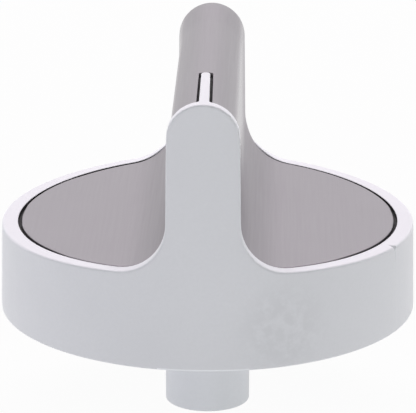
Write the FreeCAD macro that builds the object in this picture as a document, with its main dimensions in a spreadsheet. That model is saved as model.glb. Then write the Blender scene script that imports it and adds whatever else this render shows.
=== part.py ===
"""Burner knob for a gas hob: moulded body, pressed steel cover and spring clip.

Millimetres, +Z up. The origin is the centre of the stem's foot, the grip runs along Y
and the pointer is at its -Y end. Every piece is drawn from the skirt's lower edge, which
lies one stem length above the origin.
"""
import FreeCAD, Part
import math
import os
import re
import Sketcher
from FreeCAD import Rotation, Vector

DIMENSIONS = (
    # Outer form of the moulding
    ("rim_radius", 25.0, "outer radius at the rim, where wall and deck meet"),
    ("skirt_height", 10.65, "skirt's lower edge to the rim"),
    ("wall_draft", 1.17, "degrees, taper of the outer wall and the grip's ends"),
    ("deck_slope", 2.73, "degrees, rise of the deck towards the grip"),
    ("grip_height", 31.68, "skirt's lower edge to the top of the grip"),
    ("grip_draft", 0.61, "degrees, taper of the grip's sides"),
    ("arch_radius", 4.19, "half-round top of the grip"),
    ("valley_radius", 5.96, "sweep from the deck up into the grip"),
    ("edge_break", 0.25, "chamfer on the lower edges of skirt and stem"),
    ("nick_size", 0.6, "side of the sharp corner that nicked the rim's edge"),
    ("nick_depth", 0.3, "how far that corner went in"),
    ("nick_angle", -26.2, "degrees, place of the nick round the rim"),
    # Recess for the cover, an ellipse seen from above
    ("recess_across", 23.07, "half width of the recess, across the grip"),
    ("recess_along", 23.44, "half length of the recess, along the grip"),
    ("dish_setback", 0.1, "cover's face below the land on the deck"),
    ("grip_setback", 0.34, "cover's face inside the land on the grip"),
    # Pressed cover
    ("cover_sheet", 0.5, "thickness of the stainless sheet"),
    ("cover_gap", 0.46, "gap round the cover's edge"),
    ("tab_width", 6.0, "width of a bent tab"),
    ("tab_inset", 0.26, "tab's outer face inside the cover's edge"),
    ("tab_foot", 3.0, "length of the tab's foot under the deck"),
    ("tab_play", 0.15, "play of a tab in its slot"),
    # Pointer rib and its slot
    ("pointer_width", 1.04, "width of the pointer rib at its rear end"),
    ("pointer_root", 1.16, "width of the pointer rib at the land"),
    ("pointer_rear", 10.2, "rear end of the pointer, from the knob's axis"),
    ("pointer_gap", 0.3, "gap on each side of the pointer"),
    # Hollow underside
    ("skirt_wall", 2.0, "thickness of the skirt's wall"),
    ("deck_wall", 2.0, "thickness of the deck"),
    ("grip_wall", 1.6, "thickness of the grip's cored walls"),
    ("rib_thickness", 1.2, "stiffening ribs under the deck"),
    ("rib_recess", 2.5, "ribs' lower edges above the skirt's lower edge"),
    ("rib_angle", 45.0, "degrees, first rib from the X axis"),
    # Stem and its bore for the valve spindle
    ("stem_radius", 5.16, "outside of the stem"),
    ("stem_length", 12.68, "stem's foot below the skirt's lower edge"),
    ("lead_in_radius", 3.3, "round mouth of the bore"),
    ("lead_in_depth", 5.0, "depth of the round mouth"),
    ("bore_radius", 3.05, "round side of the D bore"),
    ("bore_depth", 19.0, "depth of the D bore from the foot"),
    ("flat_distance", 1.65, "flat of the D from the knob's axis"),
    # Spring clip in its pocket behind the flat
    ("clip_width", 3.0, "width of the clip's leaf"),
    ("clip_sheet", 0.3, "thickness of the clip's leaf"),
    ("clip_length", 12.0, "height of the clip's leaf"),
    ("clip_bow", 0.3, "how far the leaf bows in past the flat"),
    ("clip_lip", 0.22, "lip of the clip in a notch at the lower end of its pocket"),
    ("pocket_depth", 0.75, "clip's pocket behind the flat"),
    ("pocket_play", 0.1, "play of the clip on each side"),
    # Blanks
    ("blank_reach", 30.0, "half size of the blanks that the forms are cut from"),
    ("margin", 2.0, "how far a cutting form runs past what it cuts"),
)

ORIGIN = (-1, 1)
START, END, CENTRE = 1, 2, 3
TOLERANCE = 1e-4


def make_sheet():
    """Spreadsheet of the driving dimensions, one alias each."""
    table = doc.addObject("Spreadsheet::Sheet", "Dimensions")
    for row, (alias, value, meaning) in enumerate(DIMENSIONS, start=1):
        table.set(f"A{row}", alias)
        table.set(f"B{row}", str(value))
        table.set(f"C{row}", meaning)
        table.setAlias(f"B{row}", alias)
    doc.recompute()
    return table


def bound(formula):
    """Formula with each alias pointed at the spreadsheet."""
    aliases = "|".join(alias for alias, _, _ in DIMENSIONS)
    return re.sub(rf"\b({aliases})\b", r"Dimensions.\1", formula)


def number(formula):
    """Present value of a formula of the spreadsheet's dimensions."""
    return float(sheet.evalExpression(bound(formula)))


def origin_plane(body, role):
    return next(item for item in body.Origin.OriginFeatures if item.Role == role)


class Drawing:
    """A sketch on one of its body's origin planes, each size bound to the spreadsheet."""

    def __init__(self, body, name, plane="XZ_Plane", level=None, turn=None):
        self.sketch = body.newObject("Sketcher::SketchObject", name)
        self.sketch.AttachmentSupport = (origin_plane(body, plane), [""])
        self.sketch.MapMode = "FlatFace"
        if turn:
            self.sketch.AttachmentOffset = FreeCAD.Placement(Vector(), Rotation(Vector(0, 0, 1), 1))
            self.sketch.setExpression("AttachmentOffset.Rotation.Angle", bound(turn))
        if level:
            self.sketch.setExpression("AttachmentOffset.Base.z", bound(level))
        self.sizes = 0

    def line(self, start, end):
        return self.sketch.addGeometry(Part.LineSegment(Vector(*start), Vector(*end)), False)

    def arc(self, centre, radius, first, last):
        """Arc that runs anticlockwise from the first angle to the last, in degrees."""
        circle = Part.Circle(Vector(*centre), Vector(0, 0, 1), radius)
        ends = math.radians(first), math.radians(last)
        return self.sketch.addGeometry(Part.ArcOfCircle(circle, *ends), False)

    def circle(self, radius):
        """Circle about the sketch's origin."""
        item = self.sketch.addGeometry(Part.Circle(Vector(), Vector(0, 0, 1), number(radius)), False)
        self.tie("Coincident", item, CENTRE, *ORIGIN)
        self.size("Radius", item, formula=radius)

    def ellipse(self, across, along):
        """Ellipse about the sketch's origin, longer along the upright axis."""
        tips = Vector(0, number(along), 0), Vector(number(across), 0, 0)
        item = self.sketch.addGeometry(Part.Ellipse(*tips, Vector()), False)
        self.sketch.exposeInternalGeometry(item)
        long_axis, short_axis = item + 1, item + 2
        self.tie("Coincident", item, CENTRE, *ORIGIN)
        self.tie("Vertical", long_axis)
        self.size("Distance", long_axis, formula=f"2 * ({along})")
        self.size("Distance", short_axis, formula=f"2 * ({across})")

    def tie(self, kind, *items):
        self.sketch.addConstraint(Sketcher.Constraint(kind, *items))

    def size(self, kind, *items, formula):
        """Sized constraint whose value follows a formula."""
        value = number(formula)
        if kind == "Angle":
            value = math.radians(value)
        index = self.sketch.addConstraint(Sketcher.Constraint(kind, *items, value))
        self.sizes += 1
        self.sketch.renameConstraint(index, f"size_{self.sizes}")
        self.sketch.setExpression(f"Constraints.size_{self.sizes}", bound(formula))

    def at(self, item, point, across, up):
        """Holds a point of an item at across, up from the sketch's origin."""
        self.size("DistanceX", *ORIGIN, item, point, formula=across)
        self.size("DistanceY", *ORIGIN, item, point, formula=up)

    def polygon(self, corners):
        """Closed outline through corners, each a pair of formulas."""
        points = [(number(across), number(up), 0) for across, up in corners]
        sides = [self.line(a, b) for a, b in zip(points, points[1:] + points[:1])]
        for side, following in zip(sides, sides[1:] + sides[:1]):
            self.tie("Coincident", side, END, following, START)
        for side, (across, up) in zip(sides, corners):
            self.at(side, START, across, up)

    def rectangle(self, low_x, high_x, low_y, high_y):
        self.polygon([(low_x, low_y), (high_x, low_y), (high_x, high_y), (low_x, high_y)])

    def skyline(self, drop, inset, valley):
        """Knob's outline seen along the grip, from deck to deck over the half-round top.

        drop is how far its decks lie below the moulding's, inset how far the grip's faces
        lie inside the moulding's, and valley the sweep's radius. Gives the outer end of the
        deck on each side.
        """
        arch = f"(arch_radius - ({inset}))"
        centre_height = "(grip_height - arch_radius)"
        draft = math.radians(number("grip_draft"))
        slope = math.radians(number("deck_slope"))
        radius, sweep, height = number(arch), number(valley), number(centre_height)
        side_shift = radius + sweep + height * math.sin(draft)
        deck_shift = (sweep + number("rim_radius") * math.sin(slope)
                      + number(f"skirt_height - ({drop})") * math.cos(slope))
        spread = math.cos(draft + slope)
        sweep_x = (side_shift * math.cos(slope) - deck_shift * math.sin(draft)) / spread
        sweep_z = (deck_shift * math.cos(draft) - side_shift * math.sin(slope)) / spread
        outer_end = f"skirt_height - ({drop}) - (blank_reach - rim_radius) * tan(deck_slope)"

        first = number("grip_draft")
        top = self.arc((0, height), radius, first, 180 - first)
        self.at(top, CENTRE, "0", centre_height)
        self.size("Radius", top, formula=arch)
        decks = {}
        for side in (1, -1):
            shoulder = (side * radius * math.cos(draft), height + radius * math.sin(draft), 0)
            foot = (side * (sweep_x - sweep * math.cos(draft)), sweep_z - sweep * math.sin(draft), 0)
            inner = (side * (sweep_x - sweep * math.sin(slope)), sweep_z - sweep * math.cos(slope), 0)
            outer = (side * number("blank_reach"), number(outer_end), 0)
            deck = self.line(outer, inner)
            flank = self.line(foot, shoulder)
            centre = (side * sweep_x, sweep_z)
            if side > 0:
                curve = self.arc(centre, sweep, 180 + first, 270 - number("deck_slope"))
                curve_foot, curve_deck, arch_end = START, END, START
                deck_angle, flank_angle = "180 - deck_slope", "90 + grip_draft"
            else:
                curve = self.arc(centre, sweep, 270 + number("deck_slope"), 360 - first)
                curve_foot, curve_deck, arch_end = END, START, END
                deck_angle, flank_angle = "deck_slope", "90 - grip_draft"
            self.tie("Tangent", deck, END, curve, curve_deck)
            self.tie("Tangent", curve, curve_foot, flank, START)
            self.tie("Tangent", flank, END, top, arch_end)
            self.size("Radius", curve, formula=valley)
            self.size("Angle", deck, formula=deck_angle)
            self.size("Angle", flank, formula=flank_angle)
            self.at(deck, START, f"{side} * blank_reach", outer_end)
            decks[side] = deck
        return decks

    def close(self, decks, level):
        """Closes a skyline with two uprights and a level line."""
        reach, height = number("blank_reach"), number(level)
        corner = {side: (side * reach, height, 0) for side in (1, -1)}
        uprights = {}
        for side in (1, -1):
            outer = self.sketch.getPoint(decks[side], START)
            uprights[side] = self.line(outer, corner[side])
            self.tie("Coincident", uprights[side], START, decks[side], START)
            self.tie("Vertical", uprights[side])
        level_line = self.line(corner[1], corner[-1])
        self.tie("Coincident", level_line, START, uprights[1], END)
        self.tie("Coincident", level_line, END, uprights[-1], END)
        self.tie("Horizontal", level_line)
        self.size("DistanceY", *ORIGIN, level_line, START, formula=level)

    def join(self, decks, others):
        """Closes the space between two skylines at their outer ends."""
        for side in (1, -1):
            ends = [self.sketch.getPoint(item[side], START) for item in (decks, others)]
            edge = self.line(*ends)
            self.tie("Coincident", edge, START, decks[side], START)
            self.tie("Coincident", edge, END, others[side], START)


def pad(body, name, drawing, length):
    """Solid made by drawing a sketch out both ways along its normal."""
    feature = body.newObject("PartDesign::Pad", name)
    feature.Profile = drawing.sketch
    feature.SideType = "Symmetric"
    feature.setExpression("Length", bound(length))
    return built(body, feature, adds=True)


def pocket(body, name, drawing, length=None, symmetric=False):
    """Cut made by a sketch, upwards by a length or both ways through everything."""
    feature = body.newObject("PartDesign::Pocket", name)
    feature.Profile = drawing.sketch
    if symmetric:
        feature.SideType = "Symmetric"
    feature.Reversed = not symmetric
    if length:
        feature.setExpression("Length", bound(length))
    else:
        feature.Type = "ThroughAll"
    return built(body, feature, adds=False)


def turned(body, name, drawing, kind):
    """Revolution that adds, or Groove that cuts, made by turning a sketch once round its upright axis."""
    feature = body.newObject(f"PartDesign::{kind}", name)
    feature.Profile = drawing.sketch
    feature.ReferenceAxis = (drawing.sketch, ["V_Axis"])
    feature.Angle = 360
    return built(body, feature, adds=kind == "Revolution")


def trim_round(body, name, inset="0", bevel=None):
    """Cuts away what lies outside the drafted wall, set in by inset, and may bevel its lower edge."""
    low, high, far = "-margin", "grip_height + margin", "1.5 * blank_reach"

    def wall(level):
        return f"rim_radius + (skirt_height - ({level})) * tan(wall_draft) - ({inset})"

    corners = [(wall(low), low), (far, low), (far, high), (wall(high), high)]
    if bevel:
        foot = f"{wall('0')} - {bevel}"
        corners = [(foot, low), *corners[1:], (wall(bevel), bevel), (foot, "0")]
    outside = Drawing(body, f"{name}_outline")
    outside.polygon(corners)
    return turned(body, name, outside, "Groove")


def trim_ellipse(body, name, across, along):
    """Cuts away what lies outside an ellipse seen from above."""
    outside = Drawing(body, f"{name}_outline", "XY_Plane")
    outside.circle("1.5 * blank_reach")
    outside.ellipse(across, along)
    return pocket(body, name, outside, symmetric=True)


def cut_body(body, name, tool):
    """Cuts one body's form out of another."""
    feature = body.newObject("PartDesign::Boolean", name)
    feature.Type = "Cut"
    feature.setObjects([tool])
    return built(body, feature, adds=False)


def round_edges(body, name, radius, chosen):
    """Rounds the edges of the body that chosen picks."""
    base = body.Tip
    names = [f"Edge{i}" for i, edge in enumerate(base.Shape.Edges, start=1) if chosen(edge)]
    if not names:
        raise RuntimeError(f"{name} finds no edge")
    feature = body.newObject("PartDesign::Fillet", name)
    feature.Base = (base, names)
    feature.setExpression("Radius", bound(radius))
    return built(body, feature)


def built(body, feature, adds=None):
    """Recomputes a feature, makes it the body's tip and checks that it did its work."""
    earlier = [item for item in body.Group if item.isDerivedFrom("PartDesign::Feature") and item != feature]
    before = earlier[-1].Shape.Volume if earlier else 0
    body.Tip = feature
    doc.recompute()
    for item in body.Group:
        check(item)
    change = feature.Shape.Volume - before
    if adds is not None and change * (1 if adds else -1) < TOLERANCE:
        raise RuntimeError(f"{feature.Label} changes nothing")
    return feature


def check(item):
    """Raises an error for an object that failed, a loose sketch or a shape that isn't sound."""
    if {"Invalid", "Error"} & set(item.State):
        raise RuntimeError(f"{item.Label} failed: {item.State}")
    if item.isDerivedFrom("Sketcher::SketchObject") and (item.solve() or not item.FullyConstrained):
        raise RuntimeError(f"{item.Label} isn't fully constrained")
    shape = getattr(item, "Shape", None)
    if shape is not None and item.isDerivedFrom("PartDesign::Feature"):
        if shape.isNull() or not shape.isValid():
            raise RuntimeError(f"{item.Label} has no sound shape")


def new_body(label):
    body = doc.addObject("PartDesign::Body", label)
    body.Label = label
    return body


def middle(edge):
    """Point halfway along an edge."""
    return edge.valueAt((edge.FirstParameter + edge.LastParameter) / 2)


def near(value, formula):
    return abs(value - number(formula)) < TOLERANCE


def pointer_outline(body, name, side_play):
    """Outline of the pointer seen from above: straight tapered sides and a round rear end."""
    root_y = "(-recess_along - margin)"
    drawing = Drawing(body, name, "XY_Plane")
    half_root = f"(pointer_root / 2 + {side_play})"
    radius = f"(pointer_width / 2 + {side_play})"
    centre_y = "(-pointer_rear - pointer_width / 2)"
    left = drawing.line((-number(half_root), number(root_y), 0), (-number(radius), number(centre_y), 0))
    right = drawing.line((number(half_root), number(root_y), 0), (number(radius), number(centre_y), 0))
    root = drawing.line((-number(half_root), number(root_y), 0), (number(half_root), number(root_y), 0))
    rear = drawing.arc((0, number(centre_y)), number(radius), 0, 180)
    drawing.tie("Coincident", left, START, root, START)
    drawing.tie("Coincident", right, START, root, END)
    drawing.tie("Coincident", right, END, rear, START)
    drawing.tie("Coincident", left, END, rear, END)
    drawing.at(left, START, f"-{half_root}", root_y)
    drawing.at(right, START, half_root, root_y)
    drawing.at(rear, CENTRE, "0", centre_y)
    drawing.size("Radius", rear, formula=radius)
    drawing.tie("Horizontal", rear, CENTRE, rear, START)
    drawing.tie("Horizontal", rear, CENTRE, rear, END)
    return drawing


SEAT_DROP = "dish_setback + cover_sheet"
SEAT_INSET = "grip_setback + cover_sheet"
SEAT_VALLEY = "valley_radius + (dish_setback + grip_setback) / 2 + cover_sheet"
COVER_VALLEY = "valley_radius + (dish_setback + grip_setback) / 2"
CEILING_DROP = f"{SEAT_DROP} + deck_wall"
CEILING_INSET = f"{SEAT_INSET} + grip_wall"
CEILING_VALLEY = f"{SEAT_VALLEY} + (deck_wall + grip_wall) / 2"


def make_recess():
    """Space above the cover's seat, inside the land and round the pointer rib."""
    body = new_body("cover_recess")
    seat = Drawing(body, "seat_line")
    seat.close(seat.skyline(SEAT_DROP, SEAT_INSET, SEAT_VALLEY), "grip_height + margin")
    pad(body, "above_seat", seat, "2 * blank_reach")
    trim_ellipse(body, "inside_land", "recess_across", "recess_along")
    pocket(body, "pointer_rib", pointer_outline(body, "pointer_plan", "0"), symmetric=True)
    return body


def make_hollow():
    """Space under the deck and inside the grip, round the stem and the stiffening ribs."""
    body = new_body("underside_hollow")
    ceiling = Drawing(body, "ceiling_line")
    ceiling.close(ceiling.skyline(CEILING_DROP, CEILING_INSET, CEILING_VALLEY), "-margin")
    pad(body, "below_ceiling", ceiling, "2 * blank_reach")
    trim_round(body, "inside_skirt", inset="skirt_wall")
    stem = Drawing(body, "stem_plan", "XY_Plane")
    stem.circle("stem_radius")
    pocket(body, "round_stem", stem, symmetric=True)
    rib = Drawing(body, "rib_plan", "XY_Plane", level="rib_recess", turn="rib_angle")
    rib.rectangle("0", "blank_reach", "-rib_thickness / 2", "rib_thickness / 2")
    first_rib = pocket(body, "first_rib", rib)
    ribs = body.newObject("PartDesign::PolarPattern", "four_ribs")
    ribs.Originals = [first_rib]
    ribs.Axis = (rib.sketch, ["N_Axis"])
    ribs.Angle = 360
    ribs.Occurrences = 4
    built(body, ribs, adds=False)
    return body


def make_knob_body():
    """The moulding: skirt, deck, grip, land, pointer rib, ribs and stem in one piece."""
    body = new_body("knob_body")
    crown = Drawing(body, "crown_line")
    crown.close(crown.skyline("0", "0", "valley_radius"), "0")
    pad(body, "crown", crown, "2 * blank_reach")
    trim_round(body, "outer_wall", bevel="edge_break")
    cut_body(body, "recess_cut", make_recess())
    cut_body(body, "hollow_cut", make_hollow())

    slots = Drawing(body, "tab_slot_plan", "XY_Plane")
    half = "(tab_width / 2 + tab_play)"
    for side in (1, -1):
        slots.rectangle(f"{side} * ({TAB_INNER} - tab_play)", f"{side} * ({TAB_OUTER} + tab_play)",
                        f"-{half}", half)
    pocket(body, "tab_slots", slots, symmetric=True)

    stem = Drawing(body, "stem_profile")
    stem.polygon([
        ("0", "0"),
        ("0", "-stem_length"),
        ("stem_radius - edge_break", "-stem_length"),
        ("stem_radius", "edge_break - stem_length"),
        ("stem_radius", "0"),
    ])
    turned(body, "stem", stem, "Revolution")

    lead_in = Drawing(body, "lead_in_plan", "XY_Plane", level="-stem_length")
    lead_in.circle("lead_in_radius")
    pocket(body, "lead_in", lead_in, "lead_in_depth")
    bore = Drawing(body, "d_plan", "XY_Plane", level="-stem_length")
    lift = math.degrees(math.asin(number("flat_distance / bore_radius")))
    half_flat = number("bore_radius") * math.cos(math.radians(lift))
    flat_y = number("flat_distance")
    flat = bore.line((half_flat, flat_y, 0), (-half_flat, flat_y, 0))
    round_side = bore.arc((0, 0), number("bore_radius"), 180 - lift, 360 + lift)
    bore.tie("Coincident", round_side, CENTRE, *ORIGIN)
    bore.tie("Coincident", flat, END, round_side, START)
    bore.tie("Coincident", flat, START, round_side, END)
    bore.tie("Horizontal", flat)
    bore.size("Radius", round_side, formula="bore_radius")
    bore.size("DistanceY", *ORIGIN, flat, START, formula="flat_distance")
    pocket(body, "d_bore", bore, "bore_depth")
    clip_room = Drawing(body, "clip_pocket_plan", "XY_Plane", level="-stem_length")
    half_clip = "(clip_width / 2 + pocket_play)"
    clip_room.rectangle(f"-{half_clip}", half_clip, "0", "flat_distance + pocket_depth")
    pocket(body, "clip_pocket", clip_room, "bore_depth")
    lip_room = Drawing(body, "lip_notch_plan", "XY_Plane", level="-stem_length")
    lip_room.rectangle(f"-{half_clip}", half_clip, "0",
                       "flat_distance + pocket_depth + clip_lip + pocket_play")
    pocket(body, "lip_notch", lip_room, "lead_in_depth + clip_sheet")

    nick = body.newObject("PartDesign::SubtractiveBox", "rim_nick")
    nick.Placement.Rotation = Rotation(number("nick_angle") - 45, -45, 0)
    for side in ("Length", "Width", "Height"):
        nick.setExpression(side, bound("nick_size"))
    tip_radius = "(rim_radius - nick_depth)"
    nick.setExpression("Placement.Base.x", bound(f"{tip_radius} * cos(nick_angle)"))
    nick.setExpression("Placement.Base.y", bound(f"{tip_radius} * sin(nick_angle)"))
    nick.setExpression("Placement.Base.z", bound("skirt_height - nick_depth"))
    built(body, nick, adds=False)
    return body


COVER_ACROSS = "(recess_across - cover_gap)"
COVER_ALONG = "(recess_along - cover_gap)"
TAB_OUTER = f"({COVER_ACROSS} - tab_inset)"
TAB_INNER = f"({TAB_OUTER} - cover_sheet)"


def make_steel_cover():
    """Pressed sheet over both dishes and the grip, slotted for the pointer, with two bent tabs."""
    body = new_body("steel_cover")
    section = Drawing(body, "sheet_section")
    face = section.skyline("dish_setback", "grip_setback", COVER_VALLEY)
    back = section.skyline(SEAT_DROP, SEAT_INSET, SEAT_VALLEY)
    section.join(face, back)
    pad(body, "pressed_sheet", section, "2 * blank_reach")
    trim_ellipse(body, "cover_edge", COVER_ACROSS, COVER_ALONG)
    slot = pointer_outline(body, "pointer_slot_plan", "pointer_gap")
    pocket(body, "pointer_slot", slot, symmetric=True)

    tabs = Drawing(body, "tab_section")
    heel = f"({TAB_INNER} - tab_foot)"
    for side in (1, -1):
        def corner(across, drop):
            height = f"skirt_height - ({drop}) + (rim_radius - {across}) * tan(deck_slope)"
            return f"{side} * {across}", height
        tabs.polygon([
            corner(TAB_OUTER, "dish_setback + cover_sheet / 2"),
            corner(TAB_OUTER, f"{CEILING_DROP} + cover_sheet"),
            corner(heel, f"{CEILING_DROP} + cover_sheet"),
            corner(heel, CEILING_DROP),
            corner(TAB_INNER, CEILING_DROP),
            corner(TAB_INNER, "dish_setback + cover_sheet / 2"),
        ])
    pad(body, "tabs", tabs, "tab_width")
    round_edges(body, "tab_bends", "cover_sheet * 0.8", lambda edge: (
        near(abs(middle(edge).x), TAB_OUTER)
        and near(edge.Length, "tab_width")
        and middle(edge).z < number("skirt_height - deck_wall")))
    return body


def make_spring_clip():
    """Bowed leaf of spring steel with a lip at its lower end, seen here unloaded."""
    body = new_body("spring_clip")
    leaf = Drawing(body, "leaf_section", "YZ_Plane")
    back_y = "(flat_distance + pocket_depth)"
    low = "(lead_in_depth + clip_sheet - stem_length)"
    high = f"({low} + clip_length)"
    bow = "(pocket_depth - clip_sheet + clip_bow)"
    radius = f"((pow(clip_length / 2; 2) + pow({bow}; 2)) / (2 * {bow}))"
    leaf_centre_y = f"({back_y} - {bow} + {radius})"
    centre = (number(leaf_centre_y), number(f"({low} + {high}) / 2"))
    half_angle = math.degrees(math.asin(number(f"clip_length / 2 / {radius}")))
    near_angle = math.degrees(math.asin(number(f"clip_length / 2 / ({radius} + clip_sheet)")))
    far = leaf.arc(centre, number(radius), 180 - half_angle, 180 + half_angle)
    near_face = leaf.arc(centre, number(f"{radius} + clip_sheet"), 180 - near_angle, 180 + near_angle)
    top = leaf.line(leaf.sketch.getPoint(near_face, START), leaf.sketch.getPoint(far, START))
    lip = [
        (f"{back_y}", low),
        (f"{back_y} + clip_lip", low),
        (f"{back_y} + clip_lip", f"{low} - clip_sheet"),
    ]
    points = [(number(across), number(up), 0) for across, up in lip]
    toe = leaf.sketch.getPoint(near_face, END)
    under = (toe.x, points[2][1], 0)
    lip_top = leaf.line(points[0], points[1])
    lip_end = leaf.line(points[1], points[2])
    lip_base = leaf.line(points[2], under)
    heel = leaf.line(under, toe)
    for first, second in ((far, lip_top), (lip_top, lip_end), (lip_end, lip_base), (lip_base, heel)):
        leaf.tie("Coincident", first, END, second, START)
    leaf.tie("Coincident", heel, END, near_face, END)
    leaf.tie("Coincident", top, START, near_face, START)
    leaf.tie("Coincident", top, END, far, START)
    leaf.tie("Coincident", near_face, CENTRE, far, CENTRE)
    leaf.tie("Vertical", lip_end)
    leaf.tie("Horizontal", lip_base)
    leaf.tie("Vertical", heel)
    leaf.at(lip_top, START, *lip[0])
    leaf.at(lip_top, END, *lip[1])
    leaf.size("DistanceY", *ORIGIN, lip_end, END, formula=lip[2][1])
    leaf.at(far, START, back_y, high)
    leaf.size("DistanceY", *ORIGIN, near_face, START, formula=high)
    leaf.size("DistanceY", *ORIGIN, near_face, END, formula=low)
    leaf.size("Radius", far, formula=radius)
    leaf.size("Radius", near_face, formula=f"{radius} + clip_sheet")
    pad(body, "leaf", leaf, "clip_width")
    return body


doc = FreeCAD.newDocument("BurnerKnob")
sheet = make_sheet()
pieces = [make_knob_body(), make_steel_cover(), make_spring_clip()]
for piece in pieces:
    piece.setExpression("Placement.Base.z", bound("stem_length"))
doc.recompute()
for item in doc.Objects:
    check(item)
os.makedirs("parts", exist_ok=True)
for piece in pieces:
    if piece.Shape.isNull() or not piece.Shape.isValid() or len(piece.Shape.Solids) != 1:
        raise RuntimeError(f"{piece.Label} isn't one sound solid")
    piece.Shape.exportStep(f"parts/{piece.Label}.step")
    print(piece.Label, round(piece.Shape.Volume, 1), "mm3", piece.Shape.BoundBox)
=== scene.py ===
"""Dresses the burner knob: satin moulding, pressed stainless cover, spring clip and stage.

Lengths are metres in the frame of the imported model: origin at the centre of the stem's
foot, +Z up, the grip along Y with the pointer at its -Y end.
"""
from math import acos, asin, atan2, cos, dist, pi, radians, sin, sqrt, tan

import bmesh
import bpy
from bpy.props import FloatProperty, FloatVectorProperty, IntProperty, PointerProperty
from mathutils import Matrix, Vector


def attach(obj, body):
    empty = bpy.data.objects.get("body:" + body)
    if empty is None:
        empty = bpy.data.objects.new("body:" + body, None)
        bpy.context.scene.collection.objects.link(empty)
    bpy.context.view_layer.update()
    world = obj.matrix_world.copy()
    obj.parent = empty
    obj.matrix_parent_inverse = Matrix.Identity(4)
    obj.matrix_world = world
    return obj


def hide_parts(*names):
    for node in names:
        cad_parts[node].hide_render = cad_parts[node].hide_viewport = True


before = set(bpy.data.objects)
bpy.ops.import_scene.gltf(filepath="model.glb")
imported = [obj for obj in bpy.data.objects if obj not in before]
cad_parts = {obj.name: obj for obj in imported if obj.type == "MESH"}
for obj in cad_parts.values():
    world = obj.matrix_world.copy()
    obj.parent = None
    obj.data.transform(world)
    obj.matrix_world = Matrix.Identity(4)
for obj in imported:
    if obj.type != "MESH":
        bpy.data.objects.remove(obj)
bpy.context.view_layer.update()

bl_info = {
    "name": "Burner knob",
    "version": (1, 0, 0),
    "blender": (4, 5, 0),
    "location": "3D View > Sidebar > Burner knob",
    "description": "Builds the visible pieces of a hob's burner knob on its packed frame",
    "category": "Object",
}


def length(name, description, default):
    return FloatProperty(name=name, description=description, default=default, unit="LENGTH", precision=6)


def angle(name, description, degrees):
    return FloatProperty(name=name, description=description, default=radians(degrees), subtype="ANGLE")


def colour(name, description, default):
    return FloatVectorProperty(name=name, description=description, default=default, subtype="COLOR",
                               min=0.0, max=1.0)


def share(name, description, default):
    return FloatProperty(name=name, description=description, default=default, subtype="FACTOR",
                         min=0.0, max=1.0)


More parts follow.
